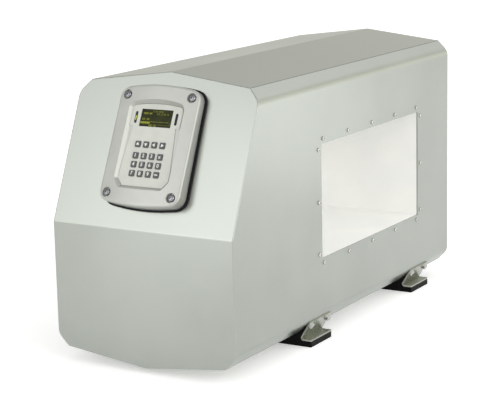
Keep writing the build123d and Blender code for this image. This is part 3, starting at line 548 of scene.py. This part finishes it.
for name in keyNames:
    label = name[len("key_"):]
    if label in arrowTurns:
        mark = modelArrow(keyPrint["arrow"], arrowTurns[label], keyPrint["thickness"])
    elif label == "enter":
        mark = modelBar(*keyPrint["bar"], keyPrint["thickness"])
    else:
        words = "x" if label == "clear" else label
        mark = modelText(words, keyPrint["digit"], keyPrint["bold"], keyPrint["thickness"])
    top = spanAlong(name, faceOut)[1] - keyPrint["sink"]
    spot = onFace(middleOf(name, faceRight), middleOf(name, faceUp), top)
    mark.data.transform(turnedTo(faceOut, faceUp, spot))
    nameAndPaint(mark, "print_" + label, keyInk)
    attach(mark, name)
print("key prints done")

# What the display shows: plain figures and bars, in mm across and up from its middle

displayShow = {"size": 4.4 * mm, "bold": 0.12 * mm, "thickness": 0.06 * mm, "sink": 0.02 * mm,
               "lines": (("12-05 08:36", 1.0, 11.4, "dim"), ("0350 100", -18.0, 7.6, "lit"),
                         ("0.8 1.2 45 16", 11.0, 7.2, "dim"), ("0.5 - 84", -20.5, -2.0, "lit"),
                         ("120 - 75", -6.0, -12.8, "lit")),
               "bars": ((-20.5, -8.0, 18.0, 3.4, "lit"), (8.0, -11.0, 38.0, 0.5, "dim"),
                        (27.0, -8.6, 0.6, 5.0, "dim")),
               "dashes": {"first": -9.0, "step": 4.0, "count": 9, "up": -6.2, "size": (2.6, 0.8)}}
inks = {"lit": displayLit, "dim": displayDim}
screenAcross = middleOf("display_window", faceRight)
screenUp = middleOf("display_window", faceUp)
screenLevel = spanAlong("display_window", faceOut)[1] - displayShow["sink"]


def showOnScreen(piece, name, across, up, ink):
    spot = onFace(screenAcross + across * mm, screenUp + up * mm, screenLevel)
    piece.data.transform(turnedTo(faceOut, faceUp, spot))
    nameAndPaint(piece, name, inks[ink])
    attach(piece, "head")


for count, (words, across, up, ink) in enumerate(displayShow["lines"]):
    line = modelText(words, displayShow["size"], displayShow["bold"], displayShow["thickness"])
    showOnScreen(line, f"screenLine{count}", across, up, ink)
for count, (across, up, length, height, ink) in enumerate(displayShow["bars"]):
    bar = modelBar(length * mm, height * mm, displayShow["thickness"])
    showOnScreen(bar, f"screenBar{count}", across, up, ink)
dashes = displayShow["dashes"]
for count in range(dashes["count"]):
    dash = modelBar(*[side * mm for side in dashes["size"]], displayShow["thickness"])
    showOnScreen(dash, f"screenDash{count}", dashes["first"] + count * dashes["step"], dashes["up"], "lit")

# The lit spot on the left light bar
lampSpot = {"size": (2.0 * mm, 7.0 * mm), "up": -1.0 * mm}

mark = modelBar(*lampSpot["size"], displayShow["thickness"])
lensTop = spanAlong("left_status_light", faceOut)[1] - displayShow["sink"]
spot = onFace(middleOf("left_status_light", faceRight),
              middleOf("left_status_light", faceUp) + lampSpot["up"], lensTop)
mark.data.transform(turnedTo(faceOut, faceUp, spot))
nameAndPaint(mark, "lampSpot", litLens)
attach(mark, "head")
print("display done")

# Stage: white floor, studio light and camera

# The lift whitens the floor for the camera and in reflections, and lights nothing else
floorSet = {"size": 60.0, "color": "#f6f6f6", "rough": 0.9, "lift": 0.34}


def makeFloor(look):
    startPiece()
    bpy.ops.mesh.primitive_plane_add(size=look["size"])
    floor = bpy.context.object
    floor.name = "studioFloor"
    material = bpy.data.materials.new("paper_sweep_white")  # matt white paper, which keeps the shadow
    material.use_nodes = True
    tree = material.node_tree
    shader = tree.nodes["Principled BSDF"]
    shader.inputs["Base Color"].default_value = linearColor(look["color"])
    shader.inputs["Roughness"].default_value = look["rough"]
    shader.inputs["Specular IOR Level"].default_value = 0.0
    shader.inputs["Emission Color"].default_value = linearColor("#ffffff")
    path = addNode(tree, "ShaderNodeLightPath")
    seen = addNode(tree, "ShaderNodeMath", None, {0: (path, "Is Camera Ray"), 1: (path, "Is Glossy Ray")},
                   operation="MAXIMUM")
    through = addNode(tree, "ShaderNodeMath", None, {0: (seen, "Value"), 1: (path, "Is Transmission Ray")},
                      operation="MAXIMUM")
    lift = addNode(tree, "ShaderNodeMath", {1: look["lift"]}, {0: (through, "Value")}, operation="MULTIPLY")
    tree.links.new(lift.outputs["Value"], shader.inputs["Emission Strength"])
    floor.data.materials.append(material)


makeFloor(floorSet)

# A pale studio dome, warm along the horizon, brightest at half its height and darker towards the rear.
# Each stop is a height on the dome, from 0 to 1, with the light and the tint there.
studioSky = {"strength": 1.8, "front": 1.50, "rear": 0.52,
             "stops": ((0.0, 1.25, "#fffdf2"), (0.10, 1.20, "#fffdf2"), (0.20, 1.00, "#fffef2"),
                       (0.35, 0.76, "#fffff2"), (0.50, 1.55, "#ffffff"), (0.66, 0.82, "#ffffff"),
                       (1.0, 0.74, "#ffffff"))}


def makeSky(look):
    world = bpy.data.worlds.new("studioSky")
    bpy.context.scene.world = world
    world.use_nodes = True
    tree = world.node_tree
    coords = addNode(tree, "ShaderNodeTexCoord")
    toward = addNode(tree, "ShaderNodeSeparateXYZ", None, {"Vector": (coords, "Generated")})
    ramp = addNode(tree, "ShaderNodeValToRGB", None, {"Fac": (toward, "Z")})
    elements = ramp.color_ramp.elements
    stops = look["stops"]
    elements[0].position = stops[0][0]
    elements[1].position = stops[-1][0]
    for stop in stops[1:-1]:
        elements.new(stop[0])
    for element, (_, bright, tint) in zip(elements, stops):
        element.color = [channel * bright / look["strength"] for channel in linearColor(tint)[:3]] + [1.0]
    lean = addNode(tree, "ShaderNodeMapRange",
                   {"From Min": -1.0, "From Max": 1.0, "To Min": look["front"], "To Max": look["rear"]},
                   {"Value": (toward, "Y")})
    level = addNode(tree, "ShaderNodeMath", {1: look["strength"]}, {0: (lean, "Result")},
                    operation="MULTIPLY")
    shader = tree.nodes["Background"]
    tree.links.new(ramp.outputs["Color"], shader.inputs["Color"])
    tree.links.new(level.outputs["Value"], shader.inputs["Strength"])


makeSky(studioSky)

# Large lamps for the sloping end, small ones for the long side, the upright end and the tunnel
softboxes = (
    {"name": "keyBox", "place": (-1.2, -2.2, 0.9), "aim": (-0.45, 0, 0.37),
     "size": (2.8, 1.8), "watts": 2.2, "spread": 40, "color": "#ffffff"},
    {"name": "sideBox", "place": (0.95, -1.05, 0.22), "aim": (-0.3, -0.17, 0.28),
     "size": (0.5, 0.42), "watts": 0.075, "spread": 60, "color": "#ffffff"},
    {"name": "faceBox", "place": (-1.9, 0.85, 1.03), "aim": (-0.45, 0, 0.37),
     "size": (1.2, 1.1), "watts": 0.55, "spread": 40, "color": "#ffffff"},
    {"name": "endBox", "place": (-1.25, 0.33, 0.26), "aim": (-0.49, -0.05, 0.22),
     "size": (0.4, 0.5), "watts": 0.072, "spread": 60, "color": "#ffffff"},
    {"name": "tunnelBox", "place": (-0.15, 0.8, 0.45), "aim": (0.02, 0.02, 0.1),
     "size": (0.3, 0.16), "watts": 0.17, "spread": 34, "color": "#fffaf2"},
)


def addSoftbox(look):
    startPiece()
    bpy.ops.object.light_add(type="AREA", location=look["place"])
    lamp = bpy.context.object
    lamp.name = look["name"]
    lamp.data.shape = "RECTANGLE"
    lamp.data.size, lamp.data.size_y = look["size"]
    lamp.data.energy = look["watts"]
    lamp.data.color = linearColor(look["color"])[:3]
    lamp.data.spread = math.radians(look["spread"])
    ahead = Vector(look["aim"]) - Vector(look["place"])
    lamp.rotation_euler = ahead.to_track_quat("-Z", "Y").to_euler()
    lamp.visible_camera = False


for look in softboxes:
    addSoftbox(look)

# The photograph's viewing angle: metres and degrees, with lens and sensor in mm
photoCamera = {"place": (-2.6382, -1.4825, 0.8280), "yaw": 59.29, "pitch": 11.85, "roll": -1.30,
               "lens": 118.6, "sensor": 36.0}


def setCamera(look):
    yaw, pitch, roll = (math.radians(look[key]) for key in ("yaw", "pitch", "roll"))
    ahead = Vector((math.sin(yaw) * math.cos(pitch), math.cos(yaw) * math.cos(pitch), -math.sin(pitch)))
    level = Vector((math.cos(yaw), -math.sin(yaw), 0))
    upright = level.cross(ahead)
    rolledUp = upright * math.cos(roll) - level * math.sin(roll)
    startPiece()
    bpy.ops.object.camera_add()
    camera = bpy.context.object
    camera.matrix_world = turnedTo(-ahead, rolledUp, Vector(look["place"]))
    camera.data.sensor_width = look["sensor"]
    camera.data.lens = look["lens"]
    bpy.context.scene.camera = camera


setCamera(photoCamera)
bpy.context.scene.view_settings.view_transform = "Standard"
print("stage done")
